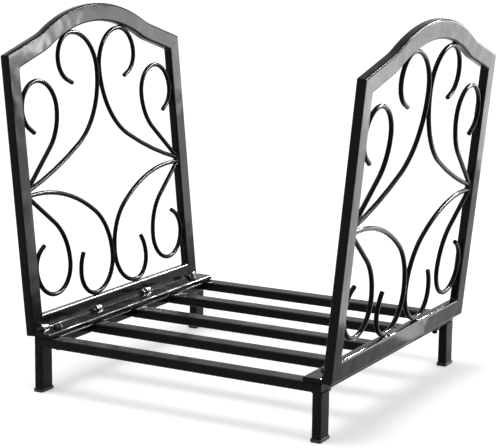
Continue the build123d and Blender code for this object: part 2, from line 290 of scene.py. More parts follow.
# The weld is the same coat baked over a rippled bead, which holds more powder and comes out
# glossier and uneven every 1.7 mm, so that it catches small bright lights.
weld_coat, tree, shader, spot = new_material("black_powder_coat_on_weld")
ripple = add_node(
    tree, "ShaderNodeTexNoise", {"Vector": spot, "Scale": 1 / (1.667 * MM), "Detail": 3.0}
)
dark = add_node(
    tree,
    "ShaderNodeMix",
    {"Factor": ripple.outputs["Fac"], 6: linear("#09090a"), 7: linear("#161618")},
    data_type="RGBA",
)
tree.links.new(dark.outputs[2], shader.inputs["Base Color"])
gloss = add_node(
    tree, "ShaderNodeMapRange", {"Value": ripple.outputs["Fac"], "To Min": 0.05, "To Max": 0.2}
)
tree.links.new(gloss.outputs["Result"], shader.inputs["Roughness"])
uneven = add_node(
    tree, "ShaderNodeBump", {"Height": ripple.outputs["Fac"], "Strength": 0.4, "Distance": 0.1 * MM}
)
tree.links.new(uneven.outputs["Normal"], shader.inputs["Normal"])
shader.inputs["IOR"].default_value = 1.5
shader.inputs["Specular IOR Level"].default_value = 0.18

BEAD_RIPPLE = 1.7 * MM
BEAD_FACETS = 12
STEPS_IN_A_RIPPLE = 5
# Shares of a bead's size: what is left of it at its ends, its ripples and its lumps; and the
# length of a lump
BEAD_END = 0.04
RIPPLE_SHARE = 0.07
LUMP_SHARE = 0.12
LUMP = 2.5 * MM


def each_once(items):
    """The items in their order, without repeats."""
    return list(dict.fromkeys(items))


def weld_bead(work, begin, end, size, lift, ripple=BEAD_RIPPLE, blunt=3):
    """Rippled bead of weld from begin to end. Its size is its width and height.

    Lift is the way in which it stands up. A blunter bead stays full nearer to its ends.
    """
    begin, end, lift = Vector(begin), Vector(end), Vector(lift).normalized()
    along = (end - begin).normalized()
    across = lift.cross(along).normalized()
    lift = along.cross(across)
    turn = Matrix((across, lift, along)).transposed().to_4x4()
    length = (end - begin).length
    steps = max(2 * STEPS_IN_A_RIPPLE, round(length / (ripple / STEPS_IN_A_RIPPLE)))
    made = bmesh.ops.create_circle(work, cap_ends=True, radius=0.1 * MM, segments=BEAD_FACETS)
    ring = made["verts"]
    bmesh.ops.transform(work, matrix=Matrix.Translation(begin) @ turn, verts=ring)
    edges = each_once(e for v in ring for e in v.link_edges)
    for number in range(1, steps + 1):
        share = number / steps
        edges = extrude_along(work, edges, along * (length / steps))
        ring = each_once(v for e in edges for v in e.verts)
        here = begin + along * (length * share)
        swell = math.sqrt(max(0.0, 1 - abs(2 * share - 1) ** blunt)) + BEAD_END
        swell *= 1 + RIPPLE_SHARE * math.sin(math.tau * length * share / ripple)
        swell *= 1 + LUMP_SHARE * noise.noise(here / LUMP)
        half_width, height = size[0] / 2 * swell, size[1] * swell
        for vert in ring:
            way = vert.co - here
            way = Vector((way.dot(across), way.dot(lift), 0)).normalized()
            vert.co = here + across * (way.x * half_width) + lift * (way.y * height)
    bmesh.ops.contextual_create(work, geom=edges)


for number in range(1, SLATS + 1):
    y = -BASE_DEPTH / 2 + TUBE_WIDE / 2 + number * SLAT_PITCH
    place = Matrix.Translation((0, y, rail_height))
    work = straight_tube(TUBE_WIDE, TUBE_THIN, SLAT_LENGTH, place @ ALONG_X)
    for end in (-1, 1):
        edges = [e for e in work.edges if e.is_boundary and e.verts[0].co.x * end > 0]
        bmesh.ops.contextual_create(work, geom=edges)
    finish_piece(f"slat_{number}_tube", work, drier_coat, [f"slat_{number}"])

    work = bmesh.new()
    low, high = rail_height - SLAT_BEAD_LOW, rail_height + SLAT_BEAD_HIGH
    for end in (-1, 1):
        for side in (-1, 1):
            x = end * SLAT_LENGTH / 2
            edge = y + side * TUBE_WIDE / 2
            weld_bead(work, (x, edge, low), (x, edge, high), SLAT_BEAD, (-end, side, 0))
    finish_piece(f"slat_{number}_welds", work, weld_coat)

# Four legs of the same tube stand on edge under the corners, flush with the outside. Each is
# welded to the underside of the frame with a bead along its inner broad side, and with two tacks
# on its narrow outer face.

LEG_BOTTOM = 3.5 * MM
LEG_TOP = BASE_TOP - TUBE_THIN
LEG_BEAD = (4 * MM, 2 * MM)
LEG_BEAD_INSET = 1 * MM
TACK = (2.2 * MM, 0.9 * MM)
TACK_LENGTH = 2 * MM
# Where the two tacks begin, along X from the middle of the leg, and how they lie in the seam
TACK_STARTS = (-3.3 * MM, 0.7 * MM)
TACK_SUNK = 0.4 * MM
TACK_RISE = 0.4 * MM
TACK_FALL = 0.2 * MM

legs = [
    (f"{side_name}_{end_name}", end, side)
    for side_name, side in (("front", -1), ("back", 1))
    for end_name, end in (("left", -1), ("right", 1))
]


def leg_place(end, side):
    """Place of a leg's middle line on the floor."""
    return end * (BASE_LENGTH - TUBE_THIN) / 2, side * (BASE_DEPTH - TUBE_WIDE) / 2


for name, end, side in legs:
    x, y = leg_place(end, side)
    middle = Matrix.Translation((x, y, (LEG_BOTTOM + LEG_TOP) / 2))
    work = straight_tube(TUBE_THIN, TUBE_WIDE, LEG_TOP - LEG_BOTTOM, middle)
    for height in (LEG_BOTTOM, LEG_TOP):
        rim = [e for e in work.edges if e.is_boundary and abs(e.verts[0].co.z - height) < SAME_PLACE]
        bmesh.ops.contextual_create(work, geom=rim)
    finish_piece(f"{name}_leg_tube", work, drier_coat, [f"{name}_leg"])

    work = bmesh.new()
    inner = x - end * TUBE_THIN / 2
    reach = TUBE_WIDE / 2 - LEG_BEAD_INSET
    weld_bead(work, (inner, y - reach, LEG_TOP), (inner, y + reach, LEG_TOP), LEG_BEAD, (-end, 0, -1))
    face_y = y + side * (TUBE_WIDE / 2 - TACK_SUNK)
    for start in TACK_STARTS:
        begin = Vector((x + start, face_y, LEG_TOP + TACK_RISE))
        weld_bead(work, begin, begin + Vector((TACK_LENGTH, 0, -TACK_FALL)), TACK, (0, side, 0))
    finish_piece(f"{name}_leg_weld", work, weld_coat)

# Each leg ends in a black cap, injection moulded in polyethylene and pressed into the tube. Its
# head is a little wider than the tube, with round corners and a soft lower edge.

# The head fills the gap between the leg and the floor
CAP_HEAD = LEG_BOTTOM
CAP_OVERHANG = 0.8 * MM
CAP_CORNER = 1.8 * MM
CAP_LOWER_RIM = 0.9 * MM
CAP_UPPER_RIM = 0.35 * MM
CAP_PLUG = 12 * MM
TUBE_WALL = 1.2 * MM
PLUG_GAP = 0.2 * MM

# Moulded polyethylene, matt black: waxy, greyer than the paint, with the fine spark-eroded
# texture of the mould, about 0.4 mm, drawn at 0.8 mm so that it shows, and scuffs 5 mm wide.
plastic, tree, shader, spot = new_material("moulded_black_polyethylene")
grain = add_node(
    tree, "ShaderNodeTexNoise", {"Vector": spot, "Scale": 1 / (0.8 * MM), "Detail": 2.0}
)
scuffs = add_node(
    tree, "ShaderNodeTexNoise", {"Vector": spot, "Scale": 1 / (5.56 * MM), "Detail": 4.0}
)
grey = add_node(
    tree,
    "ShaderNodeMix",
    {"Factor": scuffs.outputs["Fac"], 6: linear("#0b0b0b"), 7: linear("#171717")},
    data_type="RGBA",
)
tree.links.new(grey.outputs[2], shader.inputs["Base Color"])
matt = add_node(
    tree, "ShaderNodeMapRange", {"Value": scuffs.outputs["Fac"], "To Min": 0.28, "To Max": 0.5}
)
tree.links.new(matt.outputs["Result"], shader.inputs["Roughness"])
pitted = add_node(
    tree, "ShaderNodeBump", {"Height": grain.outputs["Fac"], "Strength": 0.4, "Distance": 0.05 * MM}
)
tree.links.new(pitted.outputs["Normal"], shader.inputs["Normal"])
shader.inputs["IOR"].default_value = 1.51
shader.inputs["Specular IOR Level"].default_value = 0.3

for name, end, side in legs:
    work = bmesh.new()
    bmesh.ops.create_cube(work, size=1)
    size = (TUBE_THIN + 2 * CAP_OVERHANG, TUBE_WIDE + 2 * CAP_OVERHANG, CAP_HEAD)
    bmesh.ops.scale(work, vec=size, verts=list(work.verts))
    upright_edges = [e for e in work.edges if abs(e.verts[0].co.z - e.verts[1].co.z) > SAME_PLACE]
    bmesh.ops.bevel(
        work, geom=upright_edges, offset=CAP_CORNER, offset_type="OFFSET", affect="EDGES",
        segments=4, profile=0.5, material=-1,
    )
    for up, radius in ((-1, CAP_LOWER_RIM), (1, CAP_UPPER_RIM)):
        rim_z = CAP_HEAD / 2 - SAME_PLACE
        rim = [e for e in work.edges if all(v.co.z * up > rim_z for v in e.verts)]
        bmesh.ops.bevel(
            work, geom=rim, offset=radius, offset_type="OFFSET", affect="EDGES",
            segments=3, profile=0.5, material=-1,
        )
    bmesh.ops.translate(work, vec=(0, 0, CAP_HEAD / 2), verts=list(work.verts))
    top = max(work.faces, key=lambda f: (round(f.normal.z, 3), f.calc_area()))
    margin = CAP_OVERHANG + TUBE_WALL + PLUG_GAP
    bmesh.ops.inset_region(work, faces=[top], thickness=margin, use_even_offset=True)
    plug = bmesh.ops.extrude_discrete_faces(work, faces=[top])["faces"][0]
    bmesh.ops.translate(work, vec=(0, 0, CAP_PLUG), verts=list(plug.verts))
    bmesh.ops.translate(work, vec=(*leg_place(end, side), 0), verts=list(work.verts))
    finish_piece(f"{name}_moulded_cap", work, plastic, [f"{name}_foot_cap"])

# Each side panel is a frame of the same tube, set on edge: two uprights and a bottom rail cut
# straight, and a top rail bent to an arch with a reverse bend at each shoulder. The four are
# mitred and welded, and the whole panel leans outwards.

LEAN = math.radians(5.6)
SHOULDER = 294 * MM
CROWN = 340 * MM
CROWN_RADIUS = 210 * MM
REVERSE_RADIUS = 80 * MM
# How far the crown reaches, as a share of the panel's half depth
CROWN_SHARE = 0.573
# Degrees that a facet of the arch turns
ARCH_FACET = 1.5
PANEL_CORNER = 3 * MM
HALF_DEPTH = BASE_DEPTH / 2
WINDOW = HALF_DEPTH - TUBE_WIDE
CROWN_CENTRE = CROWN - CROWN_RADIUS
MITRE_BEAD = (4.2 * MM, 1.7 * MM)
MITRE_BEAD_INSET = 0.8 * MM
GROUND_RIDGE = (10 * MM, 0.62 * MM)
RIDGE_SUNK = 0.5 * MM
RIDGE_RIPPLE = 5 * MM
# A ground ridge begins and ends at these shares of the way from the outside corner to the inside
RIDGE_BEGIN, RIDGE_END = 0.34, 0.97

# The crown ends at this angle above the horizontal, where the reverse bend takes over; from the
# reverse bend each end of the arch runs straight down to its shoulder, at the end slope
BEND_ANGLE = math.acos(CROWN_SHARE * HALF_DEPTH / CROWN_RADIUS)
bend_y = (CROWN_RADIUS + REVERSE_RADIUS) * math.cos(BEND_ANGLE)
bend_z = CROWN_CENTRE + (CROWN_RADIUS + REVERSE_RADIUS) * math.sin(BEND_ANGLE)
bend_distance = math.hypot(HALF_DEPTH - bend_y, bend_z - SHOULDER)
bend_bearing = math.atan2(bend_z - SHOULDER, HALF_DEPTH - bend_y)
END_SLOPE = bend_bearing - math.asin(REVERSE_RADIUS / bend_distance)
# Height of the shoulder's inner corner, and how far the mitre falls to it
INNER_CORNER = SHOULDER + TUBE_WIDE * math.tan(END_SLOPE) - TUBE_WIDE / math.cos(END_SLOPE)
DROP = SHOULDER - INNER_CORNER

stand_right = Matrix.Translation((BASE_LENGTH / 2, 0, BASE_TOP)) @ Matrix.Rotation(LEAN, 4, "Y")
mirror_x = Matrix.Scale(-1, 4, (1, 0, 0))
panels = (("left", -1, mirror_x @ stand_right), ("right", 1, stand_right))


def bend_along(work, edges, at, heading, radius, turn, facet):
    """Bend a bar clockwise in the panel's plane, or anticlockwise if the turn is negative.

    A facet is in degrees, other angles in radians. Returns the edges of its new end, the place of
    its middle line there, and its heading.
    """
    sense = math.copysign(1, turn)
    centre = at + Vector((0, math.sin(heading), -math.cos(heading))) * radius * sense
    steps = max(2, math.ceil(abs(math.degrees(turn)) / facet))
    ring = each_once(v for e in edges for v in e.verts)
    spun = bmesh.ops.spin(
        work, geom=ring + edges, cent=centre, axis=(1, 0, 0), angle=-turn, steps=steps
    )
    new_edges = [g for g in spun["geom_last"] if isinstance(g, bmesh.types.BMEdge)]
    at = centre + Matrix.Rotation(-turn, 3, "X") @ (at - centre)
    return new_edges, at, heading - turn


def run_along(work, edges, at, heading, length):
    """Carry a bar straight on; returns the edges of its new end and the place of its middle line."""
    step = Vector((0, math.cos(heading), math.sin(heading))) * length
    return extrude_along(work, edges, step), at + step


for name, end, stand in panels:
    middle = Matrix.Translation((TUBE_THIN / 2, 0, TUBE_WIDE / 2))
    work = straight_tube(TUBE_THIN, TUBE_WIDE, BASE_DEPTH + TUBE_WIDE, middle @ ALONG_Y)
    for side in (-1, 1):
        cut_off(work, (0, side * HALF_DEPTH, 0), (0, side, 1))
        grind_corner(work, (0, side * HALF_DEPTH, 0), (0, 0, -1), (0, side, 0), PANEL_CORNER)
    bmesh.ops.transform(work, matrix=stand, verts=list(work.verts))
    finish_piece(f"{name}_bottom_rail_tube", work, powder_coat, [f"{name}_bottom_rail"])

    for side_name, side in (("front", -1), ("back", 1)):
        middle = Matrix.Translation((TUBE_THIN / 2, side * (HALF_DEPTH - TUBE_WIDE / 2), CROWN / 2))
        work = straight_tube(TUBE_THIN, TUBE_WIDE, CROWN, middle)
        cut_off(work, (0, side * HALF_DEPTH, 0), (0, -side, -1))
        grind_corner(work, (0, side * HALF_DEPTH, 0), (0, side, 0), (0, 0, -1), PANEL_CORNER)
        cut_off(work, (0, side * HALF_DEPTH, SHOULDER), (0, -side * DROP, TUBE_WIDE))
        bmesh.ops.transform(work, matrix=stand, verts=list(work.verts))
        node = f"{name}_{side_name}_upright"
        finish_piece(f"{node}_tube", work, powder_coat, [node])

    # The arch is bent along the middle of the tube, from the front shoulder to the back one. Each
    # end runs past its shoulder by the width of the tube, and is then cut to the mitre
    half_wide = TUBE_WIDE / 2
    crown, reverse = CROWN_RADIUS - half_wide, REVERSE_RADIUS + half_wide
    foot_y = HALF_DEPTH - half_wide * math.sin(END_SLOPE)
    foot_z = SHOULDER - half_wide * math.cos(END_SLOPE)
    straight_y = bend_y - reverse * math.sin(END_SLOPE)
    length = (foot_y - straight_y) / math.cos(END_SLOPE) + TUBE_WIDE
    uphill = Vector((0, math.cos(END_SLOPE), math.sin(END_SLOPE)))
    at = Vector((TUBE_THIN / 2, -foot_y, foot_z)) - uphill * TUBE_WIDE
    work = bmesh.new()
    edges = tube_outline(work, TUBE_THIN, TUBE_WIDE)
    face_up = Matrix.Translation(at) @ Matrix.Rotation(END_SLOPE, 4, "X") @ ALONG_Y
    bmesh.ops.transform(work, matrix=face_up, verts=list(work.verts))
    edges, at = run_along(work, edges, at, END_SLOPE, length)
    heading = END_SLOPE
    crown_half = math.pi / 2 - BEND_ANGLE
    rise_turn = END_SLOPE - crown_half
    for radius, turn in ((reverse, rise_turn), (crown, 2 * crown_half), (reverse, rise_turn)):
        edges, at, heading = bend_along(work, edges, at, heading, radius, turn, ARCH_FACET)
    run_along(work, edges, at, heading, length)
    for side in (-1, 1):
        cut_off(work, (0, side * HALF_DEPTH, SHOULDER), (0, side * DROP, -TUBE_WIDE))
    bmesh.ops.transform(work, matrix=stand, verts=list(work.verts))
    finish_piece(f"{name}_top_rail_tube", work, powder_coat, [f"{name}_top_rail"])

    # Each mitre is welded inside the corner, and across both faces, where the bead is ground down
    # until only a low ridge shows under the powder. A mitre is given by the heights of its inner
    # and outer corners, and by whether its inside faces up or down
    work, ridges = bmesh.new(), bmesh.new()
    inset = Vector((MITRE_BEAD_INSET, 0, 0))
    through = Vector((TUBE_THIN, 0, 0))
    for side in (-1, 1):
        for inner_z, outer_z, up in ((TUBE_WIDE, 0, 1), (INNER_CORNER, SHOULDER, -1)):
            inner = Vector((0, side * WINDOW, inner_z))
            outer = Vector((0, side * HALF_DEPTH, outer_z))
            weld_bead(work, inner + inset, inner + through - inset, MITRE_BEAD, (0, -side, up))
            begin, finish = outer.lerp(inner, RIDGE_BEGIN), outer.lerp(inner, RIDGE_END)
            for x, out in ((0.0, -1), (TUBE_THIN, 1)):
                face = Vector((x - out * RIDGE_SUNK, 0, 0))
                weld_bead(
                    ridges, begin + face, finish + face, GROUND_RIDGE, (out, 0, 0), RIDGE_RIPPLE
                )
    for work, kind, coat in ((work, "corner_welds", weld_coat), (ridges, "ground_welds", powder_coat)):
        bmesh.ops.transform(work, matrix=stand, verts=list(work.verts))
        finish_piece(f"{name}_{kind}", work, coat)

# Eight scrolls of 5 mm round wire fill each panel. Each is sheared from a coil and bent in one
# plane: a long sweep from the upright, a tighter arm, and a hook that rolls back on itself and
# ends cut square. They meet on the uprights halfway up, and touch the frame and their twins.

WIRE = 5 * MM
WIRE_FACETS = 16
# Degrees that a facet of a wire's bend turns
WIRE_BEND_FACET = 4
WIRE_PLANE = TUBE_THIN / 2
WIRE_END_EDGE = 0.45 * MM
# A wire begins this far inside the upright, within the weld
WIRE_SUNK = 1.5 * MM
# Height of the junction on the uprights, and how far from it the large and small scrolls start
JUNCTION = 148 * MM
INNER_START = 2.7 * MM
OUTER_START = 4.5 * MM
# Gap at which the scrolls lie from the frame
SEAT = 0.1 * MM

# The same black powder on cold drawn wire, which is smoother than the tube: no waves, the same
# orange peel (2 mm, drawn at 3 mm) and soft clouds of gloss 45 mm long, so that lights draw thin
# bright lines on it.
wire_coat, tree, shader, spot = new_material("black_powder_coat_on_drawn_wire")
peel = add_node(
    tree, "ShaderNodeTexNoise", {"Vector": spot, "Scale": 1 / (3.03 * MM), "Detail": 2.0}
)
clouds = add_node(
    tree, "ShaderNodeTexNoise", {"Vector": spot, "Scale": 1 / (45.5 * MM), "Detail": 4.0}
)
black = add_node(
    tree,
    "ShaderNodeMix",
    {"Factor": clouds.outputs["Fac"], 6: linear("#050506"), 7: linear("#0c0c0d")},
    data_type="RGBA",
)
tree.links.new(black.outputs[2], shader.inputs["Base Color"])
gloss = add_node(
    tree,
    "ShaderNodeMapRange",
    {"Value": clouds.outputs["Fac"], "From Min": 0.3, "From Max": 0.7, "To Min": 0.1, "To Max": 0.2},
)
tree.links.new(gloss.outputs["Result"], shader.inputs["Roughness"])
fine_peel = add_node(
    tree, "ShaderNodeBump", {"Height": peel.outputs["Fac"], "Strength": 0.3, "Distance": 0.05 * MM}
)
tree.links.new(fine_peel.outputs["Normal"], shader.inputs["Normal"])
shader.inputs["IOR"].default_value = 1.5
shader.inputs["Specular IOR Level"].default_value = 0.04


def round_wire(start, heading, straight, bends, tail):
    """Wire from its start in the panel's plane, run straight, bent clockwise and run out straight."""
    work = bmesh.new()
    made = bmesh.ops.create_circle(work, cap_ends=False, radius=WIRE / 2, segments=WIRE_FACETS)
    at = Vector((WIRE_PLANE, start[0], start[1]))
    at -= Vector((0, math.cos(heading), math.sin(heading))) * WIRE_SUNK
    turned = Matrix.Translation(at) @ Matrix.Rotation(heading, 4, "X") @ ALONG_Y
    bmesh.ops.transform(work, matrix=turned, verts=made["verts"])
    edges, at = run_along(work, list(work.edges), at, heading, straight + WIRE_SUNK)
    for radius, turn in bends:
        edges, at, heading = bend_along(work, edges, at, heading, radius, turn, WIRE_BEND_FACET)
    edges, at = run_along(work, edges, at, heading, tail)
    bmesh.ops.holes_fill(work, edges=[e for e in work.edges if e.is_boundary], sides=0)
    bmesh.ops.bevel(
        work, geom=edges, offset=WIRE_END_EDGE, offset_type="OFFSET", affect="EDGES", segments=2,
        profile=0.5, material=-1,
    )
    return work


def facing(centre, point):
    """Heading of clockwise travel round the centre at the point."""
    return math.atan2(point[1] - centre[1], point[0] - centre[0]) - math.pi / 2


def inner_scroll(rise, sweep_radius, arm, hook, back, tail_radius, tail_turn, tail):
    """Large scroll; the rise is the height above the junction at which it touches its twin.

    The sweep runs through the start and into the arm without a kink, so its centre lies at its
    own radius from the start, and at the difference of the two radii from the arm's centre.
    """
    start = (WINDOW, INNER_START)
    arm_centre = (WIRE / 2 + arm, rise)
    gap_y, gap_z = arm_centre[0] - start[0], arm_centre[1] - start[1]
    gap = math.hypot(gap_y, gap_z)
    reach = sweep_radius - arm
    along = (gap**2 + sweep_radius**2 - reach**2) / (2 * gap)
    across = math.sqrt(sweep_radius**2 - along**2)
    centre_y = start[0] + (along * gap_y + across * gap_z) / gap
    centre_z = start[1] + (along * gap_z - across * gap_y) / gap
    joint_y = arm_centre[0] + arm * (arm_centre[0] - centre_y) / reach
    joint_z = arm_centre[1] + arm * (arm_centre[1] - centre_z) / reach
    first = facing((centre_y, centre_z), start) % math.tau
    second = facing((centre_y, centre_z), (joint_y, joint_z)) % math.tau
    quarter = math.pi / 2
    bends = [(sweep_radius, first - second), (arm, second - quarter), (hook, quarter)]
    bends += [(back, quarter), (tail_radius, math.radians(tail_turn))]
    return round_wire(start, first, 0, bends, tail)


def outer_scroll(rise, arm, hook, back, tail_radius, tail_turn, tail):
    """Small scroll between the large one and the upright, which its return touches.

    The rise is the height of its arm's centre above the junction.
    """
    start = (WINDOW, OUTER_START)
    arm_centre = (WINDOW - WIRE / 2 - back - hook + arm, rise)
    gap = math.dist(start, arm_centre)
    bearing = math.atan2(arm_centre[1] - start[1], arm_centre[0] - start[0])
    heading = bearing + math.asin(arm / gap)
    quarter = math.pi / 2
    bends = [(arm, heading - quarter), (hook, quarter), (back, quarter)]
    bends += [(tail_radius, math.radians(tail_turn))]
    return round_wire(start, heading, math.sqrt(gap**2 - arm**2), bends, tail)


# Bends in mm: sweep and arm (arm alone for the small scrolls), hook, return, tail; then the
# angle through which the tail turns and the length that it runs straight
BENDS = {
    "upper_inner": (480, 88, 43.5, 28, 25, 66, 9),
    "lower_inner": (180, 64, 38, 25, 38, 34, 2),
    "upper_outer": (53, 32, 29, 24, 56, 9),
    "lower_outer": (58, 30.5, 30.5, 24, 60, 6),
}
# Hook and return of each kind
HOOKS = {kind: [radius * MM for radius in sizes[-5:-3]] for kind, sizes in BENDS.items()}
upper_hook, upper_back = HOOKS["upper_inner"]
lower_hook = HOOKS["lower_inner"][0]
under_crown = CROWN_RADIUS - TUBE_WIDE - upper_back - WIRE / 2 - SEAT
upper_return = CROWN_CENTRE + math.sqrt(under_crown**2 - (WIRE / 2 + upper_hook) ** 2)
RISES = {
    "upper_inner": upper_return + upper_back - upper_hook - JUNCTION,
    "lower_inner": JUNCTION - TUBE_WIDE - SEAT - WIRE / 2 - lower_hook,
    "upper_outer": 83.5 * MM,
    "lower_outer": 82 * MM,
}

# Half the length of a scroll's weld, and its width and height: where the four wires meet on an
# upright, where a small scroll touches the upright, where a large one touches the rail or the
# arch, and between twins, where a bead lies on each side of the wires
FAN_WELD = (9 * MM, (6.4 * MM, 3 * MM))
UPRIGHT_WELD = (4 * MM, (5.6 * MM, 1.9 * MM))
RAIL_WELD = (4.5 * MM, (5.8 * MM, 1.9 * MM))
TWIN_WELD = (4 * MM, (3.4 * MM, 1.1 * MM))
TWIN_WELD_OUT = 1.4 * MM
UPWARDS = Vector((0, 0, 1))
BACKWARDS = Vector((0, 1, 0))


def weld_over(work, place, way, weld, lift):
    """Bead that reaches equally far both ways from a place."""
    half, size = weld
    weld_bead(work, place - way * half, place + way * half, size, lift)


for name, end, stand in panels:
    for kind, sizes in BENDS.items():
        *radii, tail_turn, tail = sizes
        radii = [r * MM for r in radii]
        shape = inner_scroll if kind.endswith("inner") else outer_scroll
        up = 1 if kind.startswith("upper") else -1
        for side_name, side in (("front", -1), ("back", 1)):
            work = shape(RISES[kind], *radii, tail_turn, tail * MM)
            place = Matrix.Translation((0, 0, JUNCTION)) @ Matrix.Diagonal((1, side, up, 1))
            bmesh.ops.transform(work, matrix=stand @ place, verts=list(work.verts))
            node = f"{name}_{side_name}_{kind}_scroll"
            finish_piece(f"{node}_wire", work, wire_coat, [node])

    work = bmesh.new()
    middle = Vector((WIRE_PLANE, 0, 0))
    for side in (-1, 1):
        place = middle + Vector((0, side * WINDOW, JUNCTION))
        weld_over(work, place, UPWARDS, FAN_WELD, (0, -side, 0))
        for kind, up in (("upper", 1), ("lower", -1)):
            hook, back = HOOKS[f"{kind}_outer"]
            rise = RISES[f"{kind}_outer"] + hook - back
            place = middle + Vector((0, side * WINDOW, JUNCTION + up * rise))
            weld_over(work, place, UPWARDS, UPRIGHT_WELD, (0, -side, 0))
        place = middle + Vector((0, side * (WIRE / 2 + lower_hook), TUBE_WIDE))
        weld_over(work, place, BACKWARDS, RAIL_WELD, UPWARDS)
        turning = Vector((0, side * (WIRE / 2 + upper_hook), upper_return))
        outwards = (turning - Vector((0, 0, CROWN_CENTRE))).normalized()
        place = middle + turning + outwards * (upper_back + WIRE / 2)
        weld_over(work, place, outwards.cross(Vector((1, 0, 0))), RAIL_WELD, -outwards)
    for kind, up in (("upper", 1), ("lower", -1)):
        for out in (-1, 1):
            height = JUNCTION + up * RISES[f"{kind}_inner"]
            place = Vector((WIRE_PLANE + out * TWIN_WELD_OUT, 0, height))
            weld_over(work, place, UPWARDS, TWIN_WELD, (out, 0, 0))
    bmesh.ops.transform(work, matrix=stand, verts=list(work.verts))
    finish_piece(f"{name}_scroll_welds", work, weld_coat)

# A flat bar lies along the foot of each panel, on the end rail. It is sheared from hot rolled
# strip with soft edges, and four short fillets of weld tie it to the panel's bottom rail.

STRIP_THICK = 5 * MM
STRIP_TOP = BASE_TOP + STRIP_THICK
STRIP_LONG_EDGE = 1.4 * MM
STRIP_END_EDGE = 0.3 * MM
FILLETS = 4
FILLET = (9.6 * MM, 4.6 * MM)
FILLET_LENGTH = 24 * MM
FILLET_RIPPLE = 8 * MM
# From the corner of strip and panel to a fillet's middle line, and from the strip's end to the
# middle of the first fillet
FILLET_OUT, FILLET_UP = 0.3 * MM, 0.2 * MM
FILLET_INSET = 16 * MM
# Between the fillets the powder has filled the seam in a thin line
SEAM = (1.9 * MM, 0.9 * MM)
SEAM_RIPPLE = 9 * MM
SEAM_OUT = 0.1 * MM
SEAM_INSET = 1.5 * MM

for name, end, stand in panels:
    work = bmesh.new()
    bmesh.ops.create_cube(work, size=1)
    bmesh.ops.scale(work, vec=(TUBE_WIDE, BASE_DEPTH, STRIP_THICK), verts=list(work.verts))
    long_edges = [e for e in work.edges if abs(e.verts[0].co.y - e.verts[1].co.y) > SAME_PLACE]
    bmesh.ops.bevel(
        work, geom=long_edges, offset=STRIP_LONG_EDGE, offset_type="OFFSET", affect="EDGES",
        segments=4, profile=0.5, material=-1,
    )
    end_y = BASE_DEPTH / 2 - SAME_PLACE
    ends = [e for e in work.edges if all(abs(v.co.y) > end_y for v in e.verts)]
    bmesh.ops.bevel(
        work, geom=ends, offset=STRIP_END_EDGE, offset_type="OFFSET", affect="EDGES",
        segments=1, profile=0.5, material=-1,
    )
    x = end * (BASE_LENGTH - TUBE_WIDE) / 2
    bmesh.ops.translate(work, vec=(x, 0, BASE_TOP + STRIP_THICK / 2), verts=list(work.verts))
    finish_piece(f"{name}_flat_bar", work, powder_coat, [f"{name}_mounting_strip"])

    work = bmesh.new()
    lift = (-end, 0, 1)
    half = Vector((0, FILLET_LENGTH / 2, 0))
    pitch = (BASE_DEPTH - 2 * FILLET_INSET) / (FILLETS - 1)
    for number in range(FILLETS):
        y = -HALF_DEPTH + FILLET_INSET + number * pitch
        place = Vector((end * (BASE_LENGTH / 2 + FILLET_OUT), y, STRIP_TOP + FILLET_UP))
        weld_bead(work, place - half, place + half, FILLET, lift, FILLET_RIPPLE, blunt=2)
    seam = Vector((end * (BASE_LENGTH / 2 + SEAM_OUT), 0, STRIP_TOP))
    reach = Vector((0, HALF_DEPTH - SEAM_INSET, 0))
    weld_bead(work, seam - reach, seam + reach, SEAM, lift, SEAM_RIPPLE, blunt=40)
    finish_piece(f"{name}_strip_fillets", work, weld_coat, [f"{name}_strip_welds"])

# Two M6 button-head bolts a side, with hexagon sockets, hold each strip down on the end rail,
# and their nuts hang under it. Both are steel with a black finish, rolled and forged smooth.

BOLT_SPACING = 275 * MM
BOLT_FACETS = 36
HEAD = 10.5 * MM
HEAD_HEIGHT = 3.3 * MM
HEAD_FLAT = 5.2 * MM
# The straight rim under the dome, as a share of the head's height, and the dome's steps
HEAD_RIM = 0.12
DOME_STEPS = 7
DOME_STEP = math.radians(11)
SOCKET = 4 * MM
SOCKET_DEPTH = 1.9 * MM
SHANK = 6 * MM
BOLT_LENGTH = 25 * MM
# The thread is drawn where it shows below the nut, and the shank is plain above it
THREAD_DEPTH = 0.5 * MM
THREAD_PITCH = 1 * MM
THREADS = 6
THREAD_START = BOLT_LENGTH - 6.2 * MM
SHANK_END = BOLT_LENGTH - 6.5 * MM
NUT = 10 * MM
NUT_HEIGHT = 5 * MM
# Each corner of the nut is chamfered above and below by slanting cuts at these angles from it, in
# radians. They leave the end face a little wider than the nut is across its flats
NUT_CUTS = (-0.35, 0, 0.35)
NUT_CHAMFER_OUT = 0.05 * MM
NUT_SLANT_OUT, NUT_SLANT_UP = 0.5, 0.87

# Black oxide on forged steel: thin and oily, greyer than the paint, with a little metal showing
# through, and turning marks too fine to show, drawn as a soft unevenness of 1 mm.
black_oxide, tree, shader, spot = new_material("black_oxide_on_forged_steel")
marks = add_node(
    tree, "ShaderNodeTexNoise", {"Vector": spot, "Scale": 1 / (1.111 * MM), "Detail": 3.0}
)
tone = add_node(
    tree,
    "ShaderNodeMix",
    {"Factor": marks.outputs["Fac"], 6: linear("#161617"), 7: linear("#2b2b2d")},
    data_type="RGBA",
)
tree.links.new(tone.outputs[2], shader.inputs["Base Color"])
oily = add_node(
    tree, "ShaderNodeMapRange", {"Value": marks.outputs["Fac"], "To Min": 0.16, "To Max": 0.36}
)
tree.links.new(oily.outputs["Result"], shader.inputs["Roughness"])
shader.inputs["Metallic"].default_value = 0.6

bolt_places = [
    Vector((end * (BASE_LENGTH - TUBE_WIDE) / 2, side * BOLT_SPACING / 2, 0))
    for end in (-1, 1)
    for side in (-1, 1)
]

